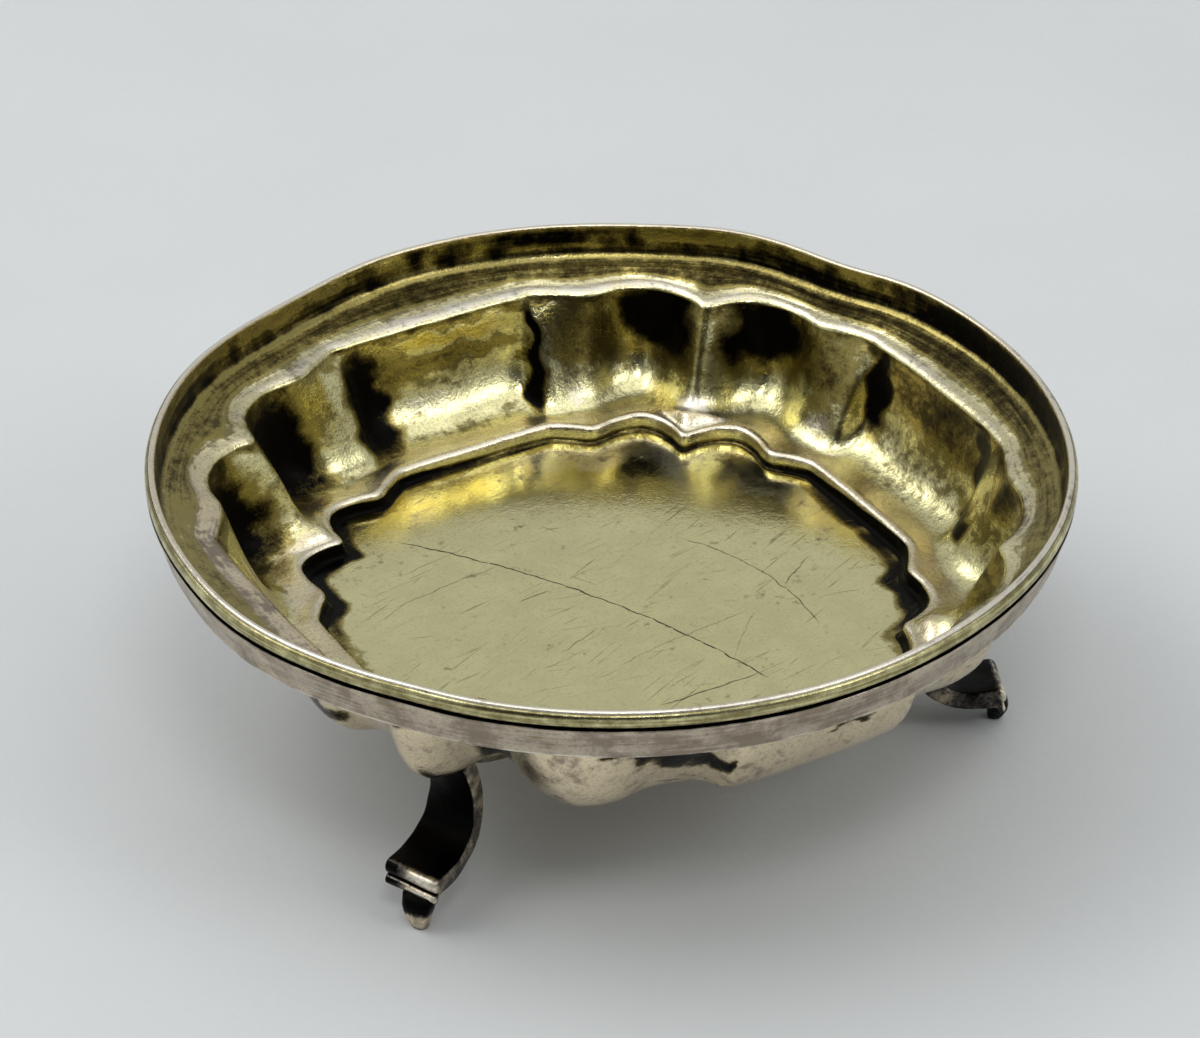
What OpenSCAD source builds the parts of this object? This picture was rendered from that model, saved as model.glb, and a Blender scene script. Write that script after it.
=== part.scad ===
// Round salt cellar: a raised silver bowl with a lobed gilt interior,
// a plain rim band, a half-round rim wire and three scroll legs on small toes.

/* [Overall] */
// Diameter across the rim wire
rim_d = 62.2; // [59:0.1:70]
// Height from the table to the lip
overall_h = 22; // [20:0.1:28]
// Thickness of the bowl's sheet
sheet_t = 0.45; // [0.3:0.05:0.6]

/* [Rim] */
// Height of the half-round rim wire
wire_h = 1.05; // [0.9:0.01:1.4]
// How far the wire stands out from the bowl's wall
wire_proud = 0.25; // [0.15:0.01:0.4]
// How far the lip stands above the wire
lip_stand = 0.1; // [0.05:0.01:0.3]
// Open seam between the wire and the band
seam_gap = 0.14; // [0.08:0.01:0.3]
// Height of the rim band
band_h = 2.05; // [1.4:0.05:2.1]
// Thickness of the rim band
band_t = 0.2; // [0.12:0.01:0.35]
// Rounding of the band's lower edge
band_edge_r = 0.08; // [0.04:0.01:0.1]

/* [Bowl depths] */
// From the lip down to the ledge's outer side
wall_h = 2.6; // [2.3:0.05:3.2]
// How far the rim's wall leans in from the seam down to the ledge
wall_lean = 0.5; // [0.2:0.05:0.7]
// How far the ledge slopes down to its inner edge
ledge_drop = 0.95; // [0.6:0.05:1.2]
// From the ledge's edge down to the shelf inside
pocket_h = 7.25; // [6:0.05:8]
// How far the pockets sink below the shelf
pocket_sag = 0.3; // [0.2:0.05:0.5]
// Step from the shelf down to the floor
step_h = 1.15; // [0.9:0.05:1.5]

/* [Bowl widths] */
// Mean width of the ledge, from the rim's wall in to its edge
ledge_w = 3.8; // [3.2:0.1:4.4]
// How far the belly of the pocket walls lies inside the ledge's edge
belly_in = 0.8; // [0.2:0.1:1.4]
// From the ledge's edge in to the pockets' lowest line
pocket_w = 4; // [3.4:0.1:4.3]
// From the pockets' lowest line in to the shelf's edge
shelf_w = 2.2; // [1.9:0.1:3]

/* [Lobes] */
// Pairs of small lobes round the bowl, with a straight panel after each pair
pairs = 4; // [3:1:5]
// Swell of the lobes at the ledge's edge
edge_swell = 1; // [0.3:0.05:1.2]
// Swell of the lobes at the pocket walls
belly_swell = 2; // [0.6:0.05:2.2]
// Swell of the lobes at the pockets' lowest line
pocket_swell = 1; // [0.3:0.05:1.2]
// Swell of the lobes at the shelf's edge
shelf_swell = 1; // [0.3:0.05:1.1]
// How far the ridges between lobes rise above the pockets
ridge_lift = 1.2; // [0.3:0.05:1.6]

/* [Legs] */
// How far outside the pockets' lowest line the toes stand
toe_out = 4.1; // [3.2:0.1:5]
// How far a foot's tip stays behind the middle of its toe
foot_back = 0.3; // [0.1:0.05:0.6]
// Thickness of a leg's strap
strap_t = 1.35; // [1:0.05:1.6]
// Width of a strap under the bowl
strap_top_w = 2.8; // [2.2:0.1:3.4]
// Width of a strap at its foot
strap_foot_w = 4; // [3.6:0.1:5]
// Height of the strap's upper face at its foot
foot_h = 4; // [3.7:0.05:4.6]
// How far outside the pockets' lowest line a strap's outer face meets the bowl
strap_seat = 0.5; // [0.1:0.1:0.7]
// How far the upper bend of a strap is drawn in from its seat
upper_bend = 2; // [1.4:0.1:2.8]
// How far the lower bend of a strap is drawn in from its foot's tip
lower_bend = 5.2; // [4.6:0.1:5.6]
// Radius of the upper reed across the foot
upper_reed_r = 0.42; // [0.35:0.01:0.46]
// Radius of the lower reed across the foot
lower_reed_r = 0.28; // [0.2:0.01:0.34]
// Groove between the reeds
reed_gap = 0.15; // [0.05:0.01:0.25]

/* [Toes] */
// Width of a toe where it joins the foot
toe_top_w = 2.5; // [2:0.1:3.2]
// Width of a toe on the table
toe_tip_w = 1.3; // [1:0.1:1.8]
// Thickness of a toe on the table
toe_tip_t = 1; // [0.8:0.1:1.2]
// Height of a toe's straight upper part
toe_shoulder_h = 1.5; // [1:0.1:2.2]

/* [Hidden] */
leg_count = 3;
$fn = 96;
round_steps = 144;
wall_steps = 7;
under_steps = 6;
curve_steps = 30;
reed_steps = 8;
edge_steps = 4;
// Shares of the strap's height at which its two bends lie
upper_bend_share = 0.61;
lower_bend_share = 0.29;
// Steps of the strap's line between which a toe is seated
toe_seat_from = 26;
toe_seat_to = 29;

rim_r = rim_d / 2;
wall_outer_r = rim_r - wire_proud;
wall_inner_r = wall_outer_r - sheet_t;
wall_foot_r = wall_inner_r - wall_lean;
edge_r = wall_inner_r - ledge_w;
belly_r = edge_r - belly_in;
pocket_r = edge_r - pocket_w;
shelf_r = pocket_r - shelf_w;
toe_r = pocket_r + toe_out;
foot_r = toe_r - foot_back;
seat_r = pocket_r + strap_seat;
wire_top_z = overall_h - lip_stand;
wire_foot_z = wire_top_z - wire_h;
band_top_z = wire_foot_z - seam_gap;
band_foot_z = band_top_z - band_h;
ledge_z = overall_h - wall_h;
edge_z = ledge_z - ledge_drop;
shelf_z = edge_z - pocket_h;
pocket_z = shelf_z - pocket_sag;
floor_z = shelf_z - step_h;
leg_top_z = pocket_z - sheet_t;
under_z = floor_z - sheet_t;

// Radius of the wall's outer face below the seam, at a height
lean_rate = wall_lean / (band_top_z - ledge_z + sheet_t);
function wall_face_r(z) = wall_outer_r - lean_rate * (band_top_z - z);

// Small roundings of the sheet, worked out from its own sizes
cove_r = wall_h * 0.25;
edge_round = ledge_drop * 0.6;
crest_round = sheet_t * 0.5;

// Half of one pair and its panel, from the ridge between two lobes (0) to the
// middle of the panel (1). Each row of swell shares follows these stations.
half_sector = 180 / pairs;
station_share = [0, 0.07, 0.14, 0.22, 0.31, 0.42, 0.53, 0.61, 0.67, 0.8, 1];
edge_swell_share = [-1, -0.1, 0.65, 0.9, 0.65, -0.15, 0.15, 0.45, 0.2, -0.2, -0.5];
belly_swell_share = [-1.1, -0.4, 0.5, 0.95, 0.7, -0.2, -0.55, -0.55, 0.3, 0.25, 0];
pocket_swell_share = [-1, -0.4, 0.5, 1, 0.8, -0.3, -0.6, -0.5, -0.2, -0.3, -0.4];
shelf_swell_share = [-0.9, 0, 0.8, 1.1, 0.5, -0.6, -0.2, 0.1, -0.05, -0.45, -0.7];
ridge_lift_share = [1, 0.5, 0.1, 0, 0.05, 0.3, 0.45, 0.35, 0.12, 0.05, 0];

// Place in a half sector, 0 at the ridge of a pair and 1 at the panel's middle
function half_place(angle) =
    let (turn = (angle / half_sector + 1) % 2, fold = turn < 0 ? turn + 2 : turn)
    abs(fold - 1);
// Reads a row of shares past its ends as in a mirror
function mirrored(i) =
    let (last = len(station_share) - 1)
    i < 0 ? -i : i > last ? 2 * last - i : i;
function station(i) =
    let (last = len(station_share) - 1)
    i < 0 ? -station_share[-i] : i > last ? 2 - station_share[2 * last - i] : station_share[i];
function slope(row, i) =
    (row[mirrored(i + 1)] - row[mirrored(i - 1)]) / (station(i + 1) - station(i - 1));
function station_below(x, i = 0) =
    i >= len(station_share) - 2 || x < station_share[i + 1] ? i : station_below(x, i + 1);
function swell(row, x) =
    let (i = station_below(x),
         gap = station(i + 1) - station(i),
         u = (x - station(i)) / gap)
    (2 * u ^ 3 - 3 * u ^ 2 + 1) * row[i] + (3 * u ^ 2 - 2 * u ^ 3) * row[i + 1]
    + (u ^ 3 - 2 * u ^ 2 + u) * gap * slope(row, i) + (u ^ 3 - u ^ 2) * gap * slope(row, i + 1);

function bezier(p, t) =
    (1 - t) ^ 3 * p[0] + 3 * (1 - t) ^ 2 * t * p[1] + 3 * (1 - t) * t ^ 2 * p[2] + t ^ 3 * p[3];
function bezier_way(p, t) =
    (1 - t) ^ 2 * (p[1] - p[0]) + 2 * (1 - t) * t * (p[2] - p[1]) + t ^ 2 * (p[3] - p[2]);

// Pocket wall from the ledge's edge down to the pocket's lowest line
function pocket_curve(edge, belly, pocket, low_z) =
    [[edge, edge_z], [belly, edge_z - pocket_h * 0.45],
     [belly - pocket_h * 0.1, low_z], [pocket, low_z]];

// Section of the sheet at one place, from the floor up the inside, over the lip
// and down the outside, as [radius, height]
function section(x) =
    let (edge = edge_r + edge_swell * swell(edge_swell_share, x),
         belly = belly_r + belly_swell * swell(belly_swell_share, x),
         pocket = pocket_r + pocket_swell * swell(pocket_swell_share, x),
         shelf = shelf_r + shelf_swell * swell(shelf_swell_share, x),
         low_z = pocket_z + ridge_lift * swell(ridge_lift_share, x),
         inside = pocket_curve(edge, belly, pocket, low_z),
         outside = [for (p = pocket_curve(edge + sheet_t, belly + sheet_t, pocket, low_z))
                    p - [0, sheet_t]])
    concat(
        [[shelf - sheet_t, floor_z],
         [shelf - crest_round, floor_z + crest_round],
         [shelf, shelf_z - crest_round],
         [shelf + crest_round, shelf_z],
         [(shelf + crest_round + pocket) / 2, (shelf_z + low_z) / 2]],
        [for (i = [wall_steps:-1:0]) bezier(inside, i / wall_steps)],
        [[edge + edge_round, edge_z + ledge_drop * 0.3],
         [(edge + wall_foot_r) / 2, edge_z + ledge_drop * 0.6],
         [wall_foot_r - cove_r * 0.7, ledge_z],
         [wall_foot_r, ledge_z + cove_r * 0.3],
         [wall_face_r(ledge_z + cove_r) - sheet_t, ledge_z + cove_r],
         [wall_inner_r, band_top_z],
         [wall_inner_r, overall_h],
         [wall_outer_r, overall_h],
         [wall_outer_r, band_top_z],
         [wall_face_r(ledge_z - sheet_t), ledge_z - sheet_t],
         [edge + sheet_t + edge_round, edge_z + ledge_drop * 0.3 - sheet_t]],
        [for (i = [0:under_steps]) bezier(outside, i / under_steps)],
        [[shelf + sheet_t, low_z - sheet_t],
         [shelf - crest_round, under_z]]);

module bowl() {
    step = 360 / round_steps;
    rings = [for (i = [0:round_steps - 1]) section(half_place(i * step - half_sector))];
    row = len(rings[0]);
    middle = round_steps * row;
    points = concat(
        [for (i = [0:round_steps - 1]) for (p = rings[i])
            [p[0] * sin(i * step), -p[0] * cos(i * step), p[1]]],
        [[0, 0, floor_z], [0, 0, under_z]]);
    faces = concat(
        [for (i = [0:round_steps - 1]) for (j = [0:row - 2])
            let (a = i * row + j, b = (i + 1) % round_steps * row + j)
            each [[a, a + 1, b + 1], [a, b + 1, b]]],
        [for (i = [0:round_steps - 1]) [middle, i * row, (i + 1) % round_steps * row]],
        [for (i = [0:round_steps - 1])
            [middle + 1, (i + 1) % round_steps * row + row - 1, i * row + row - 1]]);
    color([0.72, 0.68, 0.48]) polyhedron(points, faces, convexity = 6);
}

// The band follows the leaning wall, and its lower edge is rounded
module rim_band() {
    foot_face = wall_face_r(band_foot_z);
    color([0.72, 0.69, 0.63])
    rotate_extrude()
    polygon(concat(
        [[wall_outer_r, band_top_z], [foot_face, band_foot_z]],
        [for (i = [0:edge_steps])
            let (turn = 90 * i / edge_steps)
            [foot_face + band_t - band_edge_r * (1 - sin(turn)),
             band_foot_z + band_edge_r * (1 - cos(turn))]],
        [[wall_outer_r + band_t, band_top_z]]));
}

// The wire's section is the segment of a circle that is wire_h high and wire_proud deep
module rim_wire() {
    section_r = (wire_h ^ 2 / 4 + wire_proud ^ 2) / (2 * wire_proud);
    color([0.7, 0.67, 0.5])
    rotate_extrude()
    translate([wall_outer_r, wire_foot_z + wire_h / 2])
    intersection() {
        translate([wire_proud - section_r, 0]) circle(section_r);
        translate([0, -wire_h / 2]) square([wire_proud, wire_h]);
    }
}

// Side line of a strap from the bowl to the foot's tip
strap_line = [[seat_r, leg_top_z],
              [seat_r - upper_bend, leg_top_z * upper_bend_share],
              [foot_r - lower_bend, leg_top_z * lower_bend_share],
              [foot_r, foot_h]];
// Point on a strap at a share of its line, at a depth below its outer face
function strap_point(t, depth) =
    let (way = bezier_way(strap_line, t), inward = [way[1], -way[0]] / norm(way))
    bezier(strap_line, t) + depth * inward;
function strap_face(depth, from, to) =
    [for (i = [from:to]) strap_point(i / curve_steps, depth)];
function backwards(row) = [for (i = [len(row) - 1:-1:0]) row[i]];
// Half-round end of a reed whose middle lies at a depth below the foot's outer face
function reed(depth, r) =
    let (way = bezier_way(strap_line, 1), out = way / norm(way), down = [out[1], -out[0]])
    [for (i = [0:reed_steps])
        strap_point(1, depth) + r * (sin(180 * i / reed_steps) * out - cos(180 * i / reed_steps) * down)];

module strap_outline() {
    head = strap_point(0, strap_t);
    intersection() {
        polygon(concat(
            strap_face(0, 0, curve_steps),
            reed(upper_reed_r, upper_reed_r),
            reed(2 * upper_reed_r + reed_gap + lower_reed_r, lower_reed_r),
            backwards(strap_face(strap_t, 0, curve_steps - 1)),
            [[strap_line[0][0], head[1]]]));
        square([rim_r, leg_top_z]);
    }
}

// A strap widens from the bowl down to its foot
module strap() {
    intersection() {
        rotate([90, 0, 0]) linear_extrude(strap_foot_w, center = true) strap_outline();
        rotate([90, 0, 90]) linear_extrude(rim_r) polygon([
            [-strap_foot_w / 2, 0],
            [strap_foot_w / 2, 0],
            [strap_foot_w / 2, foot_h],
            [strap_top_w / 2, leg_top_z],
            [-strap_top_w / 2, leg_top_z],
            [-strap_foot_w / 2, foot_h]]);
    }
}

// A toe is a tapered tongue, seated against the strap's inner face near its tip
module toe_peg() {
    intersection() {
        rotate([90, 0, 0]) linear_extrude(toe_top_w, center = true) polygon(concat(
            [[toe_r - toe_tip_t / 2, 0], [toe_r + toe_tip_t / 2, 0]],
            backwards(strap_face(strap_t, toe_seat_from, toe_seat_to))));
        rotate([90, 0, 90]) linear_extrude(rim_r) polygon([
            [-toe_tip_w / 2, 0],
            [toe_tip_w / 2, 0],
            [toe_top_w / 2, toe_shoulder_h],
            [toe_top_w / 2, foot_h],
            [-toe_top_w / 2, foot_h],
            [-toe_top_w / 2, toe_shoulder_h]]);
    }
}

// Legs stand at equal turns, the first at the back
module at_leg(i) {
    rotate([0, 0, 90 + i * 360 / leg_count]) children();
}

module leg(i) {
    color([0.3, 0.29, 0.27]) at_leg(i) strap();
}

module toe(i) {
    color([0.42, 0.39, 0.36]) at_leg(i) toe_peg();
}

bowl();
rim_band();
rim_wire();
leg(0);  // leg_rear
leg(1);  // leg_left
leg(2);  // leg_right
toe(0);  // toe_rear
toe(1);  // toe_left
toe(2);  // toe_right
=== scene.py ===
"""Looks of a small round salt cellar: a lobed gilt bowl on three scroll legs."""

import math
from typing import NamedTuple

import bpy
import numpy as np
from mathutils import Matrix, Vector


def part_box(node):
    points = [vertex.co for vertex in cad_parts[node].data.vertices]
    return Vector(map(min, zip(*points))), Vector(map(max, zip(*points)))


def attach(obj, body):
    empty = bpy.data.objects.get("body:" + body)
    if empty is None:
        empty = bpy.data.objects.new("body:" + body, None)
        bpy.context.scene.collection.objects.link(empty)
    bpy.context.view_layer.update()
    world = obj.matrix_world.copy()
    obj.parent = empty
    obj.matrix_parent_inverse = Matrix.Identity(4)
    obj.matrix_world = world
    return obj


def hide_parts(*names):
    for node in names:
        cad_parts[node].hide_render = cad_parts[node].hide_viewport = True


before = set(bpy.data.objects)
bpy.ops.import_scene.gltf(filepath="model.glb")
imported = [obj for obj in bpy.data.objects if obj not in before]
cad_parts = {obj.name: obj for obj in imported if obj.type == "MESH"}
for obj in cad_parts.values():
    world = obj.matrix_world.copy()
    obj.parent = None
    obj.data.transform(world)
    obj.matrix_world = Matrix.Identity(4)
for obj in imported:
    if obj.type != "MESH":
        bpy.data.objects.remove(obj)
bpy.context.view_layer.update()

MM = 0.001

# Turns are in degrees about the bowl's axis, from -Y towards +X.
# The camera, as worked out from the ellipses of the lip, the wire and the seam
CAMERA_TURN = -31.0
CAMERA_RISE = 31.8
CAMERA_AWAY = 298.4
CAMERA_ROLL = -0.49
LENS = 134.1
SENSOR = 36.0
# How far the camera aims left of and below the lip's centre
AIM_LEFT = 0.734
AIM_BELOW = 4.86

# Heights and radii of the bowl, in millimetres, as in the solids
RIM_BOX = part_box("rim_wire")
BAND_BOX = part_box("rim_band")
BOWL_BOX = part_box("bowl")
LIP_Z = BOWL_BOX[1][2] / MM
RIM_R = RIM_BOX[1][0] / MM
WIRE_TOP_Z = RIM_BOX[1][2] / MM
WIRE_FOOT_Z = RIM_BOX[0][2] / MM
BAND_TOP_Z = BAND_BOX[1][2] / MM
BAND_FOOT_Z = BAND_BOX[0][2] / MM
SHEET = 0.45
WIRE_PROUD = 0.25
WALL_OUT = RIM_R - WIRE_PROUD
WALL_IN = WALL_OUT - SHEET
WALL_LEAN = 0.5
LEDGE_Z = LIP_Z - 2.6
LEDGE_OUT_R = 29.1
EDGE_Z = LEDGE_Z - 0.95
POCKET_H = 7.25
SHELF_Z = EDGE_Z - POCKET_H
POCKET_Z = SHELF_Z - 0.3
FLOOR_Z = SHELF_Z - 1.15
UNDER_Z = FLOOR_Z - SHEET
EDGE_R = 26.6
BELLY_R = 25.8
POCKET_R = 22.6
SHELF_R = 20.4
# From the floor's edge out to the shelf's, and the width of the shelf's rounded edge
STEP_RUN = 0.55
SHELF_ROLL = 0.7
# From a pocket's edge out to the ledge, and the height of the cove between ledge and wall
BORDER_W = 0.95
COVE_H = 0.75
# How far the wall's outside ends below the ledge, and the flat bottom inside the shelf's edge
WALL_DROP = 0.25
UNDER_IN = 0.2
# A pocket's handles, as shares of its height: how far down its belly is, and how far the
# curve at its foot starts in from it
BELLY_DOWN = 0.45
BELLY_IN = 0.1

# The rings sink into the wall. The wire stops short of its solid's foot and top. The real
# band reaches below its solid, has rolled edges and is worn hollow, as (height, depth)
SUNK_IN = 0.02
WIRE_SHORT = (0.02, 0.06)
BAND_T = 0.2
BAND_DROP = 0.4
BAND_EDGE_R = 0.09
BAND_HOLLOW = ((0.3, 0.0), (0.45, 0.05), (0.8, 0.05), (1.2, 0.03))

# Swell of the lobes over half of one pair and its panel, from the ridge between
# two lobes (0) to the middle of the panel (1), as in the solids
PAIRS = 4
STATIONS = np.array([0, 0.07, 0.14, 0.22, 0.31, 0.42, 0.53, 0.61, 0.67, 0.8, 1])
EDGE_SWELL = [-1, -0.1, 0.65, 0.9, 0.65, -0.15, 0.15, 0.45, 0.2, -0.2, -0.5]
BELLY_SWELL = [-1.1, -0.6, 0.35, 0.95, 0.7, -0.2, -0.55, -0.55, 0.3, 0.25, 0]
POCKET_SWELL = [-1, -0.6, 0.3, 1, 0.8, -0.3, -0.6, -0.5, -0.2, -0.3, -0.4]
SHELF_SWELL = [-0.9, 0, 0.8, 1.1, 0.5, -0.6, -0.2, 0.1, -0.05, -0.45, -0.7]
RIDGE_LIFT = [1, 0.75, 0.3, 0.05, 0.05, 0.1, 0.12, 0.1, 0.05, 0.03, 0]
BELLY_SWELL_H = 2.0
RIDGE_LIFT_H = 1.2

# The real bowl's unevenness: ridges turned aside as (turn, degrees, width), pairs of lobes
# that swell less or more as (turn, change, width), and the rim's dents as (turn, outward,
# up, width)
TURNED_RIDGES = ((310, -5, 14),)
UNEVEN_PAIRS = ((45, -0.35, 30), (135, 0.1, 30))
RIM_DENTS = (
    (-79, 0.35, 0, 12),
    (-55, -0.15, 0, 6),
    (17, -0.33, 0, 22),
    (-161, -0.55, -0.25, 14),
    (116, -0.3, -0.3, 8),
    (133, 0.14, 0.15, 8),
)
# Radii and heights over which the dents set in, and radii over which the lobes' shift ends
DENTS_R = (27.3, 29.8)
DENTS_Z = (14, 18)
LOBE_SHIFT = 0.46
LOBE_SHIFT_TURN = 71
LOBE_SHIFT_R = (26, 29.6)
# Hammering as (depth, size, seed, radii over which it sets in), and the sheet's waves
HAMMERING = ((0.05, 6, 3, (14, 24)), (0.012, 2.5, 6, (18, 21)))
WAVES = (0.012, 9, 5)

ROUND_STEPS = 720
ROUND_TURNS = np.arange(ROUND_STEPS) * 360 / ROUND_STEPS

# Zones of the bowl's section, in order from the floor's middle up the inside,
# over the lip and down the outside
FLOOR, STEP, SHELF, POCKET, BROW, LEDGE, COVE, WALL, LIP, SIDE, HOLLOW, LOBE, UNDER = range(13)


def swell(shares, place):
    """Smooth value of a row of shares at places between 0 and 1."""
    row = np.array(shares, float)
    wide = np.concatenate(([-STATIONS[1]], STATIONS, [2 - STATIONS[-2]]))
    tall = np.concatenate(([row[1]], row, [row[-2]]))
    slope = (tall[2:] - tall[:-2]) / (wide[2:] - wide[:-2])
    i = np.clip(np.searchsorted(STATIONS, place, side="right") - 1, 0, len(STATIONS) - 2)
    gap = STATIONS[i + 1] - STATIONS[i]
    u = (place - STATIONS[i]) / gap
    return (
        (2 * u**3 - 3 * u**2 + 1) * row[i]
        + (3 * u**2 - 2 * u**3) * row[i + 1]
        + (u**3 - 2 * u**2 + u) * gap * slope[i]
        + (u**3 - u**2) * gap * slope[i + 1]
    )


def near(turn, middle, width):
    """1 at a turn, falling smoothly to 0 over a width of degrees."""
    off = (turn - middle + 180) % 360 - 180
    return np.exp(-((off / width) ** 2))


def fade(value, low, high):
    """0 below low, 1 above high, smooth between."""
    u = np.clip((value - low) / (high - low), 0, 1)
    return u * u * (3 - 2 * u)


def half_place(turn):
    """Place of each turn in its half of a pair and panel."""
    bent = turn
    for middle, degrees, width in TURNED_RIDGES:
        bent = bent - degrees * near(turn, middle, width)
    fold = ((bent - 45) / (180 / PAIRS) + 1) % 2
    return np.abs(fold - 1)


def bezier(t, handles):
    """Point at a share of the curve along a row of handles."""
    last = len(handles) - 1
    shares = [math.comb(last, k) * (1 - t) ** (last - k) * t**k for k in range(last + 1)]
    return sum(share * handle for share, handle in zip(shares, handles))


def bend(steps, *handles):
    """Points of the curve along handles, without its first."""
    return [bezier(i / steps, handles) for i in range(1, steps + 1)]


def wall_face(height):
    """Radius of the wall's outer face, which leans in below the seam."""
    rate = WALL_LEAN / (BAND_TOP_Z - LEDGE_Z + SHEET)
    return WALL_OUT - rate * max(BAND_TOP_Z - height, 0)


def bowl_zones(turn):
    """The bowl's section at every turn, as one list of (radius, height) columns per zone."""

    def at(radius, height):
        """One point of the section, as its radius and height at every turn."""
        return np.array([radius + 0 * turn, height + 0 * turn])

    place = half_place(turn)
    much = 1 + sum(more * near(turn, middle, width) for middle, more, width in UNEVEN_PAIRS)
    edge = EDGE_R + much * swell(EDGE_SWELL, place)
    belly = BELLY_R + much * BELLY_SWELL_H * swell(BELLY_SWELL, place)
    pocket = POCKET_R + much * swell(POCKET_SWELL, place)
    shelf = SHELF_R + much * swell(SHELF_SWELL, place)
    low = POCKET_Z + RIDGE_LIFT_H * swell(RIDGE_LIFT, place)
    floor_r = shelf - STEP_RUN
    under_r = shelf - UNDER_IN
    belly_z = EDGE_Z - POCKET_H * BELLY_DOWN
    belly_foot = belly - POCKET_H * BELLY_IN

    # points where curves meet, up the inside; the bare numbers are its small roundings
    foot = at(floor_r, FLOOR_Z)
    rise = at(shelf - 0.06, FLOOR_Z + 0.5)
    crest = at(shelf + 0.12, SHELF_Z - 0.12)
    shelf_end = at(shelf + SHELF_ROLL, SHELF_Z + 0.02)
    low_point = at(pocket, low)
    wall_top = at(edge, EDGE_Z - 0.25)
    ledge_in = at(edge + BORDER_W, EDGE_Z + 0.26)
    ledge_out = at(LEDGE_OUT_R, LEDGE_Z - 0.06)
    cove_top = at(wall_face(LEDGE_Z + COVE_H) - SHEET, LEDGE_Z + COVE_H)
    wall_high = at(WALL_IN, LIP_Z - 0.22)
    lip_top = at((WALL_IN + WALL_OUT) / 2, LIP_Z)
    # and down the outside
    wall_side = at(WALL_OUT, LIP_Z - 0.2)
    seam = at(WALL_OUT, BAND_TOP_Z)
    wall_foot = at(wall_face(LEDGE_Z - WALL_DROP), LEDGE_Z - WALL_DROP)
    brow = at(edge + SHEET + 1.0, EDGE_Z - SHEET + 0.45)
    out_top = at(edge + SHEET, EDGE_Z - SHEET - 0.3)
    out_low = at(pocket, low - SHEET)
    under_edge = at(under_r, UNDER_Z)

    floor = [at(floor_r * u, FLOOR_Z) for u in np.linspace(0.03, 1, 34)]
    step = bend(6, foot, at(shelf - 0.12, FLOOR_Z), rise)
    step += bend(4, rise, at(shelf, SHELF_Z - 0.35), crest)
    shelf_top = bend(5, crest, at(shelf + 0.3, SHELF_Z + 0.08), shelf_end)
    shelf_top += bend(6, shelf_end, at((shelf + pocket) / 2 + 0.5, low + 0.04), low_point)
    pocket_wall = bend(30, low_point, at(belly_foot, low), at(belly, belly_z), wall_top)
    border = bend(8, wall_top, at(edge + 0.1, EDGE_Z + 0.16), ledge_in)
    ledge = bend(8, ledge_in, at((edge + BORDER_W + LEDGE_OUT_R) / 2, EDGE_Z + 0.6), ledge_out)
    cove = bend(7, ledge_out, at(wall_face(LEDGE_Z) - SHEET, LEDGE_Z + 0.02), cove_top)
    wall = bend(7, cove_top, at(WALL_IN, LEDGE_Z + 1.4), wall_high)
    lip = bend(5, wall_high, at(WALL_IN, LIP_Z), lip_top)
    lip += bend(5, lip_top, at(WALL_OUT, LIP_Z), wall_side)
    side = [seam, wall_foot]
    hollow = bend(7, wall_foot, at(wall_face(LEDGE_Z - 0.65), LEDGE_Z - SHEET - 0.2), brow)
    hollow += bend(5, brow, at(edge + SHEET + 0.1, EDGE_Z - SHEET + 0.2), out_top)
    out_belly = at(belly + SHEET, belly_z - SHEET)
    lobe = bend(24, out_top, out_belly, at(belly_foot + SHEET, low - SHEET), out_low)
    under = bend(5, out_low, at((shelf + pocket) / 2, low - SHEET), under_edge)
    under += [at(under_r * u, UNDER_Z) for u in (0.97, 0.8, 0.6, 0.4, 0.2, 0.03)]
    inside = [floor, step, shelf_top, pocket_wall, border, ledge, cove, wall, lip]
    return inside + [side, hollow, lobe, under]


def ripple(points, size, seed):
    """Smooth waves of a size in millimetres, between about -1 and 1."""
    draw = np.random.RandomState(seed)
    x, y, z = points.T
    total = np.zeros_like(x)
    for _ in range(8):
        way = draw.normal(size=3)
        way = way / np.linalg.norm(way) * 2 * math.pi / (size * draw.uniform(0.7, 1.5))
        start = draw.uniform(0, 2 * math.pi)
        total = total + np.sin(x * way[0] + y * way[1] + z * way[2] + start)
    return total / 4


def uneven(points):
    """Points moved, in millimetres, by the rim's dents, the lobes' shift and the hammering."""
    x, y, z = points.T
    radius = np.hypot(x, y)
    turn = np.degrees(np.arctan2(x, -y))
    at_rim = fade(radius, *DENTS_R) * fade(z, *DENTS_Z)
    push = sum(out * near(turn, middle, width) for middle, out, _, width in RIM_DENTS)
    lift = sum(up * near(turn, middle, width) for middle, _, up, width in RIM_DENTS)
    beaten = sum(
        depth * ripple(points, size, seed) * fade(radius, *radii)
        for depth, size, seed, radii in HAMMERING
    )
    spread = (push * at_rim + beaten * (1 - at_rim)) / np.maximum(radius, 1)
    shift = LOBE_SHIFT * (1 - fade(radius, *LOBE_SHIFT_R))
    way = math.radians(LOBE_SHIFT_TURN)
    height, size, seed = WAVES
    x = x + x * spread + shift * math.sin(way)
    y = y + y * spread - shift * math.cos(way)
    return np.stack([x, y, z + lift * at_rim + height * ripple(points, size, seed)], -1)


def new_object(name, points, faces):
    """A smooth mesh from points in millimetres."""
    mesh = bpy.data.meshes.new(name)
    mesh.from_pydata((points * MM).tolist(), [], faces)
    mesh.update()
    mesh.shade_smooth()
    made = bpy.data.objects.new(name, mesh)
    bpy.context.scene.collection.objects.link(made)
    return made


def keep_values(piece, name, values):
    """Stores one number per point, which the materials read."""
    layer = piece.data.attributes.new(name, "FLOAT", "POINT")
    layer.data.foreach_set("value", np.clip(values, 0, 1).astype(np.float32))


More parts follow.
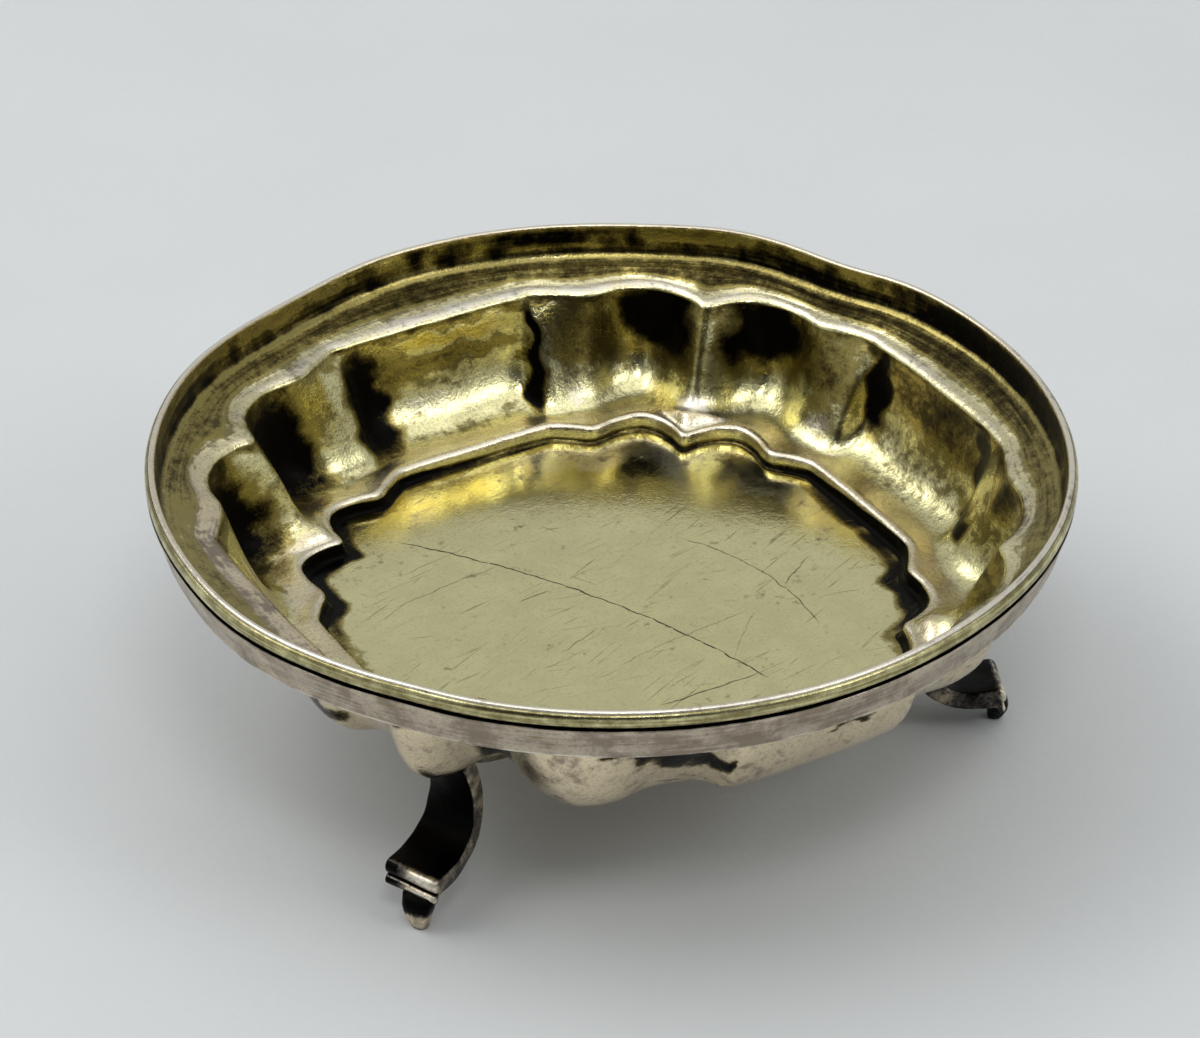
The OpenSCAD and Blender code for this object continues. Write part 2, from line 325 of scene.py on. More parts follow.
# How fast the streaks change: round the bowl and down its section, on the rings, on the legs
BOWL_LIE = (2.5, 4)
RING_LIE = 3
LEG_LIE = 0.4


def keep_lie(piece, lie):
    """Stores the place of each point among the streaks."""
    layer = piece.data.attributes.new("lie", "FLOAT_VECTOR", "POINT")
    layer.data.foreach_set("vector", lie.astype(np.float32).ravel())


def neighbours(count):
    """Pairs of neighbours in a row that closes round."""
    return [(j, (j + 1) % count) for j in range(count)]


def grid_faces(rows, columns):
    """Faces of a grid whose rows close round."""
    faces = []
    for low in range(0, (rows - 1) * columns, columns):
        high = low + columns
        faces += [(low + j, low + k, high + k, high + j) for j, k in neighbours(columns)]
    return faces


def revolved(columns):
    """Points of (radius, height) columns at every turn, row by row."""
    way = np.radians(ROUND_TURNS)
    rows = [np.stack([r * np.sin(way), -r * np.cos(way), height], -1) for r, height in columns]
    return np.concatenate(rows)


# Patches of the bowl as (turn, place along the section, half turn, half place, strength),
# where a place is a zone's number and the share of that zone
# Dark patina, mixed with painted dark reflections and painted shade
DARK_PATINA_AND_SHADE_PATCHES = (
    # painted dark reflections, with some patina, in the upper part of the two lobes at the back
    (142.5, POCKET + 0.8, 7, 0.28, 1.0),
    (125.5, POCKET + 0.8, 7.2, 0.28, 1.0),
    (143, POCKET + 0.74, 9, 0.34, 0.5),
    (125, POCKET + 0.74, 8.5, 0.34, 0.5),
    (155, POCKET + 0.75, 5.5, 0.28, 0.46),
    (113, POCKET + 0.72, 6, 0.3, 0.48),
    # painted dark reflections on the steep ends of the panels
    (163, POCKET + 0.55, 1.5, 0.55, 0.95),
    (193.5, POCKET + 0.5, 4.5, 0.55, 0.95),
    (190, POCKET + 0.75, 5, 0.25, 0.5),
    (103.5, POCKET + 0.72, 2.6, 0.4, 0.95),
    (98, POCKET + 0.85, 6, 0.16, 0.55),
    (76, POCKET + 0.7, 2.5, 0.3, 1.0),
    (73.5, POCKET + 0.5, 2.2, 0.2, 1.0),
    (70.5, POCKET + 0.36, 2.5, 0.12, 0.9),
    # painted dark reflection bands along the panels
    (178, POCKET + 0.7, 15, 0.07, 0.43),
    (88, POCKET + 0.82, 15, 0.27, 0.6),
    # painted dark reflections, with some patina, on the left sides of the lobes at the left
    (212.5, POCKET + 0.5, 6, 0.55, 0.9),
    (235, POCKET + 0.5, 7, 0.55, 0.9),
    (223, POCKET + 0.9, 3, 0.15, 0.42),
    # painted shade along the outlines of the lobes at the right
    (63, POCKET + 0.85, 4, 0.2, 0.6),
    (56, POCKET + 0.5, 2.5, 0.5, 0.55),
    (42, POCKET + 0.75, 6, 0.3, 0.5),
    # patina and painted shade on the floor by the step, at the left, right and front right
    (232, FLOOR + 1.0, 26, 0.05, 1.0),
    (88, FLOOR + 1.0, 22, 0.045, 0.85),
    (60, FLOOR + 1.0, 16, 0.055, 1.0),
    (130, FLOOR + 1.0, 40, 0.012, 0.5),
    # the rim's wall at the back
    (158, WALL + 0.6, 9, 0.5, 0.72),
    (122, WALL + 0.3, 16, 0.35, 0.74),
    (76, WALL + 0.45, 20, 0.6, 0.9),
    (97, WALL + 0.5, 9, 0.6, 0.92),
    (112, WALL + 0.1, 10, 0.3, 0.74),
    (190, WALL + 0.15, 14, 0.3, 0.66),
    (222, WALL + 0.3, 16, 0.4, 0.62),
    (262, WALL + 0.4, 22, 0.6, 0.6),
    # outside, under the band: tarnish streaks, and painted shade in the gaps between the lobes
    (281.5, LOBE + 0.45, 3.4, 0.2, 0.85),
    (303, LOBE + 0.12, 5, 0.05, 0.6),
    (310.5, LOBE + 0.4, 2.6, 0.45, 0.95),
    (329, LOBE + 0.18, 4, 0.04, 0.6),
    (333, LOBE + 0.27, 3, 0.09, 0.8),
    (337, LOBE + 0.32, 3.5, 0.11, 0.95),
    (341, LOBE + 0.35, 3, 0.1, 0.95),
    (344.5, LOBE + 0.37, 1.6, 0.11, 0.85),
    (338, LOBE + 0.64, 5, 0.03, 0.6),
    (352, LOBE + 0.2, 4, 0.03, 0.66),
    (4, LOBE + 0.28, 6, 0.03, 0.62),
)
# Thick gilding, and painted reflection of gilt in gilt where the walls face each other
DEEP_GILT_AND_REFLECTION_PATCHES = (
    (178, POCKET + 0.87, 13, 0.08, 0.9),
    (178, POCKET + 0.15, 14, 0.1, 0.4),
    (205, POCKET + 0.85, 4, 0.2, 0.9),
    (222, SHELF + 0.9, 5, 0.5, 0.4),
    (137, WALL + 0.8, 9, 0.4, 1.0),
    (115, WALL + 0.8, 8, 0.4, 1.0),
    (206, WALL + 0.8, 30, 0.4, 0.9),
)
# Brown stains, which let the metal show through, and painted shade and dark reflection bands
# along the pockets
STAIN_AND_SHADE_PATCHES = (
    # painted shadow under the border, and painted dark reflection bands along the panel at the
    # back
    (178, POCKET + 0.98, 16, 0.05, 1.0),
    (178, POCKET + 0.7, 15, 0.1, 0.95),
    (178, POCKET + 0.55, 8, 0.04, 0.6),
    (178, POCKET + 0.1, 15, 0.1, 0.5),
    (111, POCKET + 0.62, 6, 0.45, 0.8),
    (155, POCKET + 0.72, 6, 0.35, 0.85),
    (90, POCKET + 0.6, 14, 0.3, 0.5),
    (88, POCKET + 0.3, 14, 0.25, 0.5),
    # front wall, hidden in the photograph
    (0, POCKET + 0.75, 18, 0.3, 0.6),
    (330, POCKET + 0.6, 14, 0.35, 0.45),
    (290, POCKET + 0.75, 16, 0.3, 0.6),
    (64, POCKET + 0.7, 6, 0.4, 0.7),
    (43, POCKET + 0.7, 8, 0.4, 0.7),
    (212, POCKET + 0.5, 9, 0.7, 0.6),
    (236, POCKET + 0.5, 11, 0.7, 0.6),
    (143, POCKET + 0.6, 10, 0.5, 0.4),
    (125, POCKET + 0.6, 9, 0.5, 0.4),
)
# Painted highlights low in the pockets, and places on the shelf where the silver is worn bright
WEAR_AND_HIGHLIGHT_PATCHES = (
    (135, POCKET + 0.1, 4.5, 0.22, 0.85),
    (157, POCKET + 0.25, 4, 0.2, 0.6),
    (181, POCKET + 0.4, 11, 0.1, 0.45),
    (112, POCKET + 0.36, 3, 0.2, 0.6),
    (222, SHELF + 0.6, 4, 0.6, 0.7),
    (205, SHELF + 0.4, 60, 0.45, 0.6),
    (130, SHELF + 0.5, 40, 0.5, 0.5),
    (244, SHELF + 0.8, 8, 0.5, 0.6),
)

# Parts of the round, as (turn, width) of one or more middles
TURN_MASKS = {
    "back": ((148, 85),),
    "left": ((275, 38),),
    "right": ((88, 32),),
    "sides": ((232, 40), (70, 35)),
    "far_ledge": ((160, 35),),
    "far_floor": ((148, 50),),
    "front_left": ((255, 40),),
}


class Band(NamedTuple):
    """Paint between two places along the section.

    Its strength is the product of one or more weighed sums of masks. Masks may move its
    upper end too, and its ends may stray.
    """

    low: float
    high: float
    soft: float
    sums: tuple
    wider: dict = {}
    stray: bool = False


# Tarnish, and painted shade in creases, gaps and grooves
TARNISH_AND_SHADE_BANDS = (
    # the step: tarnish and painted shade under the shelf's edge, most at both sides
    Band(STEP, STEP + 0.5, 0.1, ({"all": 0.45, "clump": 0.25, "sides": 0.5},), {"sides": 0.45}),
    # painted shadow under the border; tarnish on ledge, cove and wall, with painted shade in the
    # cove
    Band(POCKET + 0.94, BROW + 0.12, 0.04, ({"all": 0.3, "fine": 0.3},), stray=True),
    Band(
        LEDGE + 0.3,
        COVE + 0.6,
        0.25,
        ({"all": 0.29, "clump": 0.12, "back": 0.2, "right": 0.08},),
    ),
    Band(COVE + 0.8, WALL, 0.12, ({"all": 0.25, "back": 0.4, "right": 0.35, "fine": 0.2},)),
    Band(
        COVE + 0.7,
        LIP + 0.05,
        0.15,
        ({"all": 0.42, "right": 0.15, "fine": 0.34, "deep_gilt_and_reflection": -0.3},),
    ),
    # outside: painted shade and dirt behind the rings and under the ledge,
    # painted shade in the grooves between the lobes, and tarnish on the bottom
    Band(SIDE + 0.2, HOLLOW + 0.2, 0.1, ({"all": 1.0},)),
    Band(HOLLOW + 0.1, HOLLOW + 1.0, 0.15, ({"all": 0.8},)),
    Band(LOBE, LOBE + 0.9, 0.1, ({"groove": 0.9},)),
    Band(UNDER + 0.2, UNDER + 1.2, 0.2, ({"all": 0.25, "clump": 0.3},)),
)
# What is added to the gilding of the inside
GILDING_BANDS = (
    Band(FLOOR + 0.75, STEP, 0.1, ({"all": -0.05},)),
    Band(STEP + 0.8, POCKET + 0.05, 0.1, ({"all": -0.3},)),
    Band(BROW + 0.2, LEDGE + 0.4, 0.2, ({"all": -0.19},)),
    Band(LEDGE + 0.4, COVE + 0.8, 0.2, ({"all": 0.15},)),
    Band(BROW, WALL + 0.9, 0.3, ({"left": -0.2},)),
)
WEAR_AND_HIGHLIGHT_BANDS = (
    # the lip, and the border between the pockets and the ledge
    Band(LIP + 0.3, SIDE, 0.08, ({"all": 1.0, "front_left": -0.45},)),
    Band(
        BROW + 0.32,
        LEDGE + 0.05,
        0.12,
        ({"all": 0.2, "back": 0.4, "fine": 0.24}, {"all": 0.75, "clump": 0.35}),
        {"left": 0.2},
        stray=True,
    ),
    # the shelf's edge worn bright, a painted highlight on the ledge's outer line at the far
    # side, and the floor's edge at the back painted paler
    Band(STEP + 0.9, SHELF + 0.3, 0.1, ({"all": 0.6},)),
    Band(LEDGE + 0.9, COVE + 0.25, 0.1, ({"far_ledge": 0.6},)),
    Band(FLOOR + 0.8, STEP, 0.05, ({"all": 0.45, "clump": 0.3}, {"back": 1.0})),
)
STAIN_AND_SHADE_BANDS = (
    # painted shade at the floor's far edge, which dims its reflection of the wall
    Band(FLOOR + 0.85, STEP, 0.05, ({"far_floor": 0.35},)),
    # brown stains on the ledge
    Band(BROW, LEDGE + 0.3, 0.2, ({"clump": 0.8}, {"all": 1.0, "back": -0.8})),
)
# Stain of the whole ledge and wall
UPPER_STAIN = {"all": 0.68, "clump": 0.25, "fine": 0.3}


def patches(turn, along, spots):
    """Strength of listed patches at every point."""
    total = np.zeros_like(turn)
    for middle, height, half_turn, half_height, strength in spots:
        off = np.exp(-(((along - height) / half_height) ** 2) ** 1.5)
        aside = ((turn - middle + 180) % 360 - 180) / half_turn
        total = np.maximum(total, strength * off * np.exp(-(aside**2) ** 1.5))
    return total


def zone_band(along, low, high, soft):
    """1 between two places along the section."""
    return fade(along, low - soft, low + soft) * (1 - fade(along, high - soft, high + soft))


def weigh(weights, masks):
    """Sum of masks, each times its weight."""
    return sum(weight * masks[name] for name, weight in weights.items())


def band_paint(band, masks):
    """Strength of one band at every point."""
    along = masks["stray_along"] if band.stray else masks["along"]
    strength = zone_band(along, band.low, band.high + weigh(band.wider, masks), band.soft)
    for weights in band.sums:
        strength = strength * weigh(weights, masks)
    return strength


def strongest(bands, masks, *layers):
    """The strongest of some bands and layers of paint at every point."""
    return np.max([*layers, *(band_paint(band, masks) for band in bands)], axis=0)


def paint_masks(turn, along, place, points):
    """Every mask, and the places that stray from the true ones, as numbers per point."""
    masks = {
        name: np.max([near(turn, *spot) for spot in spots], axis=0)
        for name, spots in TURN_MASKS.items()
    }
    masks["all"] = 1.0
    masks["along"] = along
    masks["inner"] = (along <= LIP + 0.5).astype(float)
    masks["groove"] = np.exp(-((place / 0.07) ** 2))
    masks["clump"] = 0.5 + 0.5 * ripple(points, 7, 11)
    masks["fine"] = 0.5 + 0.5 * ripple(points, 2.5, 12)
    masks["stray_turn"] = turn + 1.3 * ripple(points, 3, 13)
    # the floor is one wide zone, so a little of it is as far as much of the others
    masks["stray_along"] = along + np.where(along < STEP, 0.012, 0.05) * ripple(points, 2.2, 14)
    masks["deep_gilt_and_reflection"] = patches(masks["stray_turn"], masks["stray_along"], DEEP_GILT_AND_REFLECTION_PATCHES)
    return masks


def paint_bowl(bowl, turn, along, place, points):
    """Where the bowl is tarnished, gilt, worn, stained and painted with shade, dark reflections
    and highlights, as numbers at its points.
    """
    masks = paint_masks(turn, along, place, points)
    stray = masks["stray_turn"], masks["stray_along"]
    inner = masks["inner"]
    upper = fade(along, LEDGE - 0.2, LEDGE + 0.6) * (1 - fade(along, LIP - 0.1, LIP + 0.2))
    stain_layers = (
        patches(*stray, STAIN_AND_SHADE_PATCHES),
        upper * weigh(UPPER_STAIN, masks),
        0.3 * (1 - inner) * masks["clump"],
    )
    gilding = 0.5 + 0.45 * masks["deep_gilt_and_reflection"] + sum(band_paint(b, masks) for b in GILDING_BANDS)
    gilding = gilding * inner * (1 - zone_band(along, LIP + 0.1, LIP + 1.0, 0.1))
    keep_values(bowl, "tarnish_and_shade", strongest(TARNISH_AND_SHADE_BANDS, masks, patches(*stray, DARK_PATINA_AND_SHADE_PATCHES)))
    keep_values(bowl, "gilding", gilding)
    keep_values(bowl, "wear_and_highlight", strongest(WEAR_AND_HIGHLIGHT_BANDS, masks, patches(*stray, WEAR_AND_HIGHLIGHT_PATCHES)))
    keep_values(bowl, "stained_and_shaded", strongest(STAIN_AND_SHADE_BANDS, masks, *stain_layers))


def make_bowl():
    """The raised sheet, inside and outside, as one closed mesh."""
    zones = bowl_zones(ROUND_TURNS)
    columns = [column for zone in zones for column in zone]
    along = [i + (k + 1) / len(zone) for i, zone in enumerate(zones) for k in range(len(zone))]
    points = uneven(revolved(columns))
    rows = len(columns)
    faces = grid_faces(rows, ROUND_STEPS)
    centre, under = len(points), len(points) + 1
    ends = np.array([[0.0, 0.0, FLOOR_Z], [0.0, 0.0, UNDER_Z]])
    points = np.concatenate([points, uneven(ends)])
    last = (rows - 1) * ROUND_STEPS
    for j, k in neighbours(ROUND_STEPS):
        faces += [(centre, k, j), (under, last + j, last + k)]
    bowl = new_object("bowl_sheet", points, faces)

    all_turns = np.concatenate([np.tile(ROUND_TURNS, rows), [0, 0]])
    all_along = np.concatenate([np.repeat(along, ROUND_STEPS), [FLOOR, UNDER + 1]])
    paint_bowl(bowl, all_turns, all_along, half_place(all_turns), points)
    way = np.radians(all_turns)
    around, down = BOWL_LIE
    keep_lie(bowl, np.stack([np.sin(way) * around, np.cos(way) * around, all_along * down], -1))

    # the second material is the floor's, also on the fan of faces at its middle
    slots = np.zeros(len(faces), dtype=np.int32)
    slots[: (len(zones[FLOOR]) - 1) * ROUND_STEPS] = 1
    slots[last::2] = 1
    bowl.data.polygons.foreach_set("material_index", slots)
    return bowl


def make_ring(name, section):
    """A ring turned from a closed section of (radius, height) points."""
    count = len(section)
    way = np.radians(ROUND_TURNS)[:, None]
    radius, height = np.array(section).T
    parts = np.broadcast_arrays(radius * np.sin(way), -radius * np.cos(way), height)
    points = uneven(np.stack(parts, -1).reshape(-1, 3))
    faces = [
        (j * count + i, k * count + i, k * count + n, j * count + n)
        for j, k in neighbours(ROUND_STEPS)
        for i, n in neighbours(count)
    ]
    ring = new_object(name, points, faces)
    lie = np.stack(np.broadcast_arrays(np.sin(way), np.cos(way), height), -1)
    keep_lie(ring, lie.reshape(-1, 3) * RING_LIE)
    return ring, points


def make_wire():
    """The half-round wire soldered round the lip."""
    low, high = WIRE_FOOT_Z + WIRE_SHORT[0], WIRE_TOP_Z - WIRE_SHORT[1]
    middle, half = (low + high) / 2, (high - low) / 2
    arc = [math.radians(t) for t in range(-90, 91, 15)]
    section = [(WALL_OUT + WIRE_PROUD * math.cos(t), middle + half * math.sin(t)) for t in arc]
    section += [(WALL_OUT - SUNK_IN, high), (WALL_OUT - SUNK_IN, low)]
    ring, points = make_ring("rim_wire_turned", section)
    # how far out, up and down each point of the section is, from 0 to 1
    bulge = np.tile([math.cos(t) for t in arc] + [0, 0], ROUND_STEPS)
    upper = np.tile([max(math.sin(t), 0) for t in arc] + [1, 0], ROUND_STEPS)
    lower = np.tile([max(-math.sin(t), 0) for t in arc] + [0, 1], ROUND_STEPS)
    # dark where the wire meets the wall above and below: dirt in the joints and painted shade
    top_groove = (upper > 0) * 0.7 * (1 - fade(bulge, 0.0, 0.35))
    seam = (lower > 0.5) * 0.9 * (1 - fade(bulge, 0, 0.3))
    keep_values(ring, "tarnish_and_shade", np.maximum(top_groove, seam))
    keep_values(ring, "gilding", 0.45 + 0.12 * ripple(points, 8, 21))
    # a pale line low on the wire: wear and painted highlight
    keep_values(ring, "wear_and_highlight", 0.75 * zone_band(lower, 0.75, 0.92, 0.08))
    keep_values(ring, "stained_and_shaded", 0.56 + 0.08 * ripple(points, 4, 22))
    return ring


def make_band():
    """The band below the seam, with an edge rolled by wear."""
    high, low = BAND_TOP_Z, BAND_FOOT_Z - BAND_DROP
    r = BAND_EDGE_R
    arc = [math.radians(t) for t in range(0, 91, 30)]
    foot, inset = wall_face(low), BAND_T - r
    section = [(foot - SUNK_IN, low)]
    section += [(foot + inset + r * math.sin(t), low + r - r * math.cos(t)) for t in arc]
    section += [(wall_face(low + up) + BAND_T - sunk, low + up) for up, sunk in BAND_HOLLOW]
    section += [(WALL_OUT + inset + r * math.cos(t), high - r + r * math.sin(t)) for t in arc]
    section += [(WALL_OUT - SUNK_IN, high)]
    ring, points = make_ring("rim_band_turned", section)
    height = points[:, 2]
    # dark along the seam: dirt in the joint and painted shade
    seam = fade(height, BAND_TOP_Z - 0.06, BAND_TOP_Z)
    keep_values(ring, "tarnish_and_shade", 0.14 + 0.7 * seam + 0.12 * ripple(points, 5, 31))
    keep_values(ring, "gilding", 0.06 + 0.08 * ripple(points, 6, 32))
    # the rolled lower edge painted bright: wear and painted highlight
    keep_values(ring, "wear_and_highlight", 0.75 * (1 - fade(height, low + 0.1, low + 0.4)))
    keep_values(ring, "stained_and_shaded", 0.4 + 0.26 * ripple(points, 3, 33))
    return ring


class Leg(NamedTuple):
    """One leg, with what sets it apart from the others.

    Its foot is lifted and leans aside, in millimetres, and twist says how far it turns
    outward and up per millimetre across. Its reeds are painted brighter towards one side,
    as wear and painted highlight; bare says how far the tarnish is off its flat sides, and
    its toe stands aside of its middle.
    """

    side: str
    turn: float
    lift: float
    lean: float
    twist: tuple
    bright_side: int
    bare: float
    toe_aside: float
    toe_wear: float


LEGS = (
    Leg("rear", 180, 0, 0, (0, 0), 1, 0.5, 0, 0.6),
    Leg("left", -58.3, 0.35, -0.45, (0.09, -0.06), 1, 0.6, 0.1, 1),
    Leg("right", 59.8, -0.5, -0.1, (-0.12, 0), -1, 0.47, 0.1, 0.15),
)

# The legs' sizes, in millimetres: a strap's line in its side view, its widths, the two
# reeds across its foot and the rounding of its long edges
LEG_TOP_Z = POCKET_Z - SHEET
TOE_R = 26.7
SEAT_R = POCKET_R + 0.5
FOOT_R = TOE_R - 0.3
FOOT_Z = 4.0
STRAP_LINE = np.array(
    [
        (SEAT_R, LEG_TOP_Z),
        (SEAT_R - 2.0, LEG_TOP_Z * 0.61),
        (FOOT_R - 5.2, LEG_TOP_Z * 0.29),
        (FOOT_R, FOOT_Z),
    ]
)
STRAP_T = 1.35
STRAP_TOP_W = 2.8
STRAP_FOOT_W = 4.0
# How far a strap runs up into the bowl's sheet
STRAP_SUNK = 0.35
STRAP_STEPS = 60
UPPER_REED = 0.54
LOWER_REED = 0.36
REED_GAP = 0.1
REED_TURNS = [math.pi * i / 12 for i in range(13)]
STRAP_EDGE = 0.16
# The long edges' rounding, as angles and how worn each is, and the rows between them
EDGE_TURNS = (0, 22, 45, 68, 90)
EDGE_WEAR = (0.05, 0.15, 0.45)
FACE_ROWS = (-0.6, -0.3, 0, 0.3, 0.6)
# Above this height a leg keeps its true place, more and more up to its top
FIRM_Z = 2.5
STRAP_WAVES = (0.03, 2.2, (41, 42, 43))


def strap_point(t, depth):
    """Point in the leg's side view at a share of its line and a depth below its outer face."""
    way = bezier(t, np.diff(STRAP_LINE, axis=0))
    way = way / np.linalg.norm(way)
    return bezier(t, STRAP_LINE) + depth * np.array([way[1], -way[0]]), way


def reed_arc(depth, radius):
    """Half-round nose of a reed across the foot's end."""
    middle, way = strap_point(1, depth)
    down = np.array([way[1], -way[0]])
    return [middle + radius * (math.sin(t) * way - math.cos(t) * down) for t in REED_TURNS]


def strap_outline():
    """Closed side outline of a leg, and how worn each of its points is, with highlights painted
    on its reeds.
    """
    outer = [strap_point(i / STRAP_STEPS, 0)[0] for i in range(STRAP_STEPS)]
    inner = [strap_point(i / STRAP_STEPS, STRAP_T)[0] for i in range(STRAP_STEPS, -1, -1)]
    upper = reed_arc(UPPER_REED, UPPER_REED)
    lower = reed_arc(2 * UPPER_REED + REED_GAP + LOWER_REED, LOWER_REED)
    points = np.array(outer + upper + lower + inner[1:])
    wear_and_highlight = [0.1 * i / STRAP_STEPS for i in range(STRAP_STEPS)]
    # the reeds' noses are brightest in their middles: wear and painted highlight
    wear_and_highlight += [0.35 + 0.55 * math.sin(t) for t in REED_TURNS]
    wear_and_highlight += [0.85 * math.sin(t) for t in REED_TURNS]
    wear_and_highlight += [0.05] * STRAP_STEPS
    points[:, 1] = np.minimum(points[:, 1], LEG_TOP_Z + STRAP_SUNK)
    return points, np.array(wear_and_highlight)


def outline_normals(points):
    """Outward unit normals of a closed outline."""
    ahead = np.roll(points, -1, 0) - np.roll(points, 1, 0)
    normal = np.stack([-ahead[:, 1], ahead[:, 0]], -1)
    return normal / np.linalg.norm(normal, axis=1)[:, None]


def strap_half_width(z):
    """Half the strap's width at a height."""
    share = np.clip((z - FOOT_Z) / (LEG_TOP_Z - FOOT_Z), 0, 1)
    return (STRAP_FOOT_W + (STRAP_TOP_W - STRAP_FOOT_W) * share) / 2


def strap_side(start):
    """Faces of a strap's flat side, whose outline's points start at a number."""
    reed = STRAP_STEPS
    second = reed + len(REED_TURNS)
    inner = second + len(REED_TURNS)
    last = inner + STRAP_STEPS - 1
    faces = [(i, i + 1, last - i - 1, last - i) for i in range(STRAP_STEPS - 1)]
    faces.append((reed - 1, *range(reed, second)))
    faces.append((reed - 1, second - 1, second, inner))
    faces.append((*range(second, inner), inner))
    return [tuple(start + i for i in face) for face in faces]


def placed(points, turn):
    """Turns points with x outward, y across and z up to a turn about the bowl's axis."""
    way = math.radians(turn)
    s, c = math.sin(way), math.cos(way)
    x, y, z = points.T
    return np.stack([x * s + y * c, -x * c + y * s, z], -1)


def make_leg(leg):
    """A strap with two reeds across its foot, its long edges rounded."""
    outline, outline_worn = strap_outline()
    normal = outline_normals(outline)
    half = strap_half_width(outline[:, 1])

    # outlines from side to side, as (how far across, how far in from the face, wear)
    edge = []
    for degrees, wear in zip(EDGE_TURNS, (*EDGE_WEAR, leg.bare, leg.bare)):
        t = math.radians(degrees)
        back, sunk = (1 - math.sin(t)) * STRAP_EDGE, (1 - math.cos(t)) * STRAP_EDGE
        edge.append((half - back, sunk, wear))
    outlines = [(-across, sunk, wear) for across, sunk, wear in reversed(edge)]
    outlines += [(half * share, 0, 0) for share in FACE_ROWS] + edge
    rows, wear_and_highlight = [], []
    for across, sunk, wear in outlines:
        x, z = (outline - normal * sunk).T
        rows.append(np.stack([x, across, z], -1))
        wear_and_highlight.append(np.maximum(outline_worn, wear))

    points = np.concatenate(rows)
    across = points[:, 1].copy()
    low = 1 - fade(points[:, 2], FIRM_Z, LEG_TOP_Z)
    points[:, 0] += leg.twist[0] * across * low
    points[:, 1] += leg.lean * low
    points[:, 2] += (leg.lift + leg.twist[1] * across) * low
    points = placed(points, leg.turn)
    height, size, seeds = STRAP_WAVES
    points = points + height * np.stack([ripple(points, size, seed) for seed in seeds], -1)
    count = len(outline)
    faces = grid_faces(len(rows), count)
    faces += [face[::-1] for face in strap_side(0)]
    faces += strap_side((len(rows) - 1) * count)
    strap = new_object("strap_" + leg.side, points, faces)

    wear = np.concatenate(wear_and_highlight)
    # brighter towards the leg's bright side: wear and painted highlight
    bright = fade(leg.bright_side * across, -2.0, 0.6)
    wear = wear * np.where(wear > 0.65, 0.3 + 0.7 * bright, 1)
    patchy = 0.5 + 0.5 * ripple(points, 3, 44)
    keep_values(strap, "tarnish_and_shade", 1.0 - 0.95 * wear + 0.1 * patchy)
    keep_values(strap, "wear_and_highlight", 1.3 * fade(wear, 0.6, 0.9))
    keep_values(strap, "stained_and_shaded", 0.3 + 0.4 * patchy)
    keep_lie(strap, points * LEG_LIE)
    return strap


TOE_SECTIONS = (
    # height, half width, half depth, how far in from the toe's place on the table
    (0.0, 0.42, 0.34, 0.0),
    (0.12, 0.58, 0.48, -0.02),
    (0.6, 0.72, 0.62, -0.12),
    (1.1, 0.9, 0.72, -0.18),
    (1.6, 1.05, 0.78, -0.16),
    (2.3, 1.1, 0.8, 0.05),
)
# Power of the toe's section: 1 is an ellipse, less is boxier
TOE_BOXY = 0.62


def make_toe(leg):
    """A tapered tongue, round at its edges, that reaches up to its leg's foot."""
    rows = []
    around = np.radians(np.arange(0, 360, 10))
    c, s = np.cos(around), np.sin(around)
    stretch = 1 + leg.lift / TOE_SECTIONS[-1][0]
    for height, half_w, half_d, back in TOE_SECTIONS:
        x = TOE_R - back + half_d * np.sign(c) * np.abs(c) ** TOE_BOXY
        y = half_w * np.sign(s) * np.abs(s) ** TOE_BOXY + leg.toe_aside
        rows.append(np.stack([x, y, np.full_like(x, height * stretch)], -1))
    count = len(around)
    points = placed(np.concatenate(rows), leg.turn)
    faces = grid_faces(len(rows), count)
    faces.append(tuple(range(count))[::-1])
    faces.append(tuple((len(rows) - 1) * count + i for i in range(count)))
    tongue = new_object("tongue_" + leg.side, points, faces)
    wear = leg.toe_wear * (1 - fade(points[:, 2], 0.9, 2.0))
    keep_values(tongue, "tarnish_and_shade", 1.0 - 0.85 * wear)
    keep_values(tongue, "wear_and_highlight", wear * 0.3)
    keep_values(tongue, "stained_and_shaded", 0.5 * wear)
    keep_lie(tongue, points * LEG_LIE)
    return tongue


# Scratches on the floor as (x and y of both ends, bulge aside, half width, strength),
# and fine lines as (turn, scale, how rare)
FLOOR_SCRATCHES = (
    (-9.5, 13.2, 4.1, -14.0, 1.88, 0.09, 1.0),
    (7.8, 3.9, 10.4, -10.3, 1.47, 0.08, 0.75),
    (-6.1, 2.3, -3.1, 2.7, 0.05, 0.08, 0.8),
    (-6.5, -4.4, -2.4, -3.0, 0.05, 0.08, 0.6),
    (-4.1, -12.8, 4.9, -12.8, -0.2, 0.09, 0.85),
    (-4.1, -7.6, 7.0, -6.3, 0.2, 0.06, 0.5),
    (10.8, -5.1, 14.7, -2.6, 0.16, 0.07, 0.8),
    (-13.8, 6.0, -4.6, 7.0, 0.1, 0.06, 0.6),
    (-11.7, 9.1, -4.8, 10.2, 0.05, 0.05, 0.4),
    (3.2, -10.7, 7.7, -6.4, 0.1, 0.05, 0.4),
    (3.9, -0.2, 8.1, 0.8, 0.05, 0.05, 0.4),
    (12.0, -7.2, 15.6, -8.1, 0.05, 0.06, 0.5),
    (-10.8, -7.3, -6.4, -8.2, 0.05, 0.05, 0.4),
    (-14.4, 7.8, -9.3, 8.5, 0.05, 0.05, 0.4),
)
FINE_LINES = ((-10, 4.0, 0.645), (-24, 3.5, 0.655), (14, 4.0, 0.66), (62, 4.0, 0.69))


